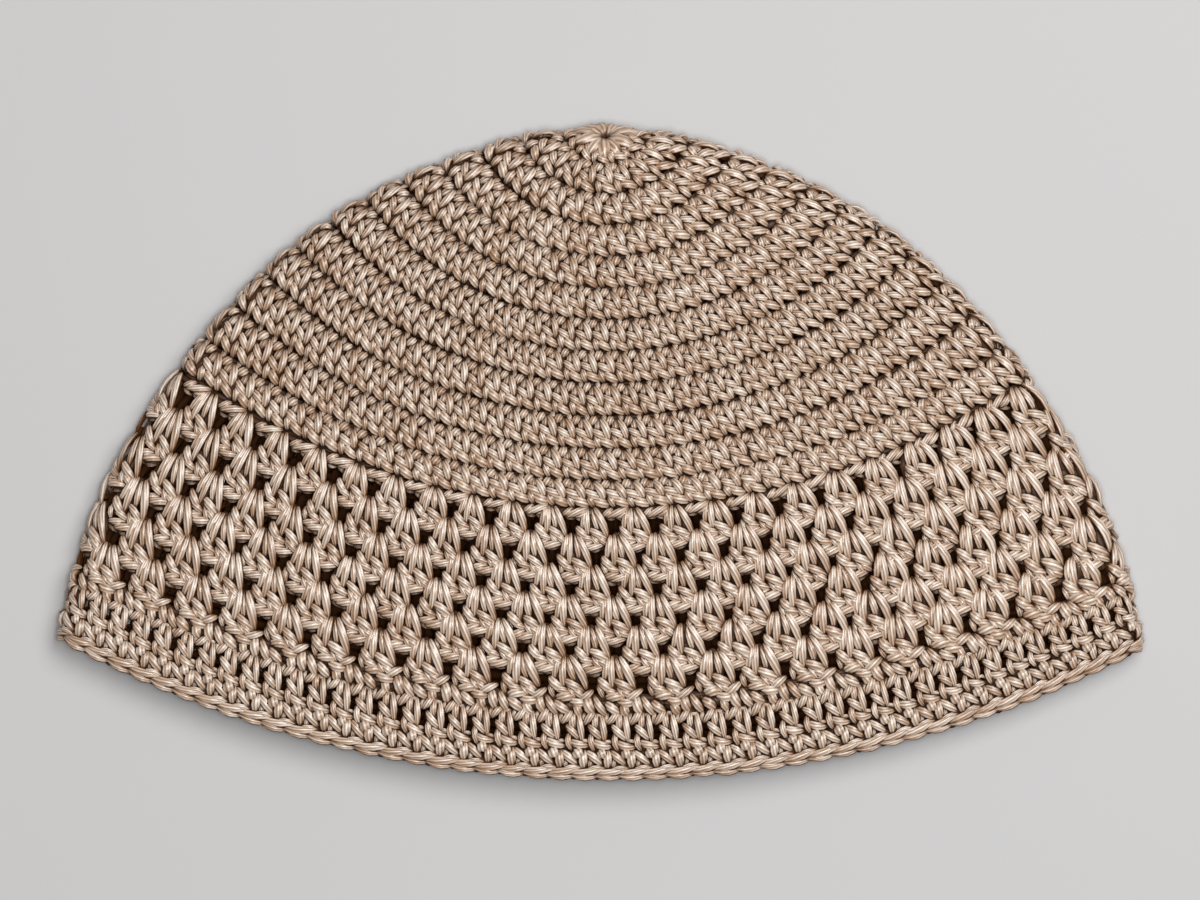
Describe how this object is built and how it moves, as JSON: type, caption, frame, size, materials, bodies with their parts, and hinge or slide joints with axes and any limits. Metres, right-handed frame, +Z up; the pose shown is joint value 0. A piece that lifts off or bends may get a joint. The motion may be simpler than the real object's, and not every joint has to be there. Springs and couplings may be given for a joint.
{
  "type": "crocheted kufi cap",
  "caption": "Brimless crocheted cap laid flat, with a solid crown of stitched rounds, an openwork band of fan clusters and a corded rim.",
  "frame": {"origin": "on the table, at the middle of the laid cap's outline", "axes": "+X across the cap from fold to fold, +Y from the open rim to the crown, +Z up from the table"},
  "size_m": [0.271, 0.1629, 0.0177],
  "materials": {
    "taupe_yarn": "satin mercerised cotton yarn, plied and crocheted"
  },
  "bodies": {
    "root": {"crown": "taupe_yarn", "openwork_band": "taupe_yarn", "border_band": "taupe_yarn", "rim_edging": "taupe_yarn"}
  },
  "joints": []
}
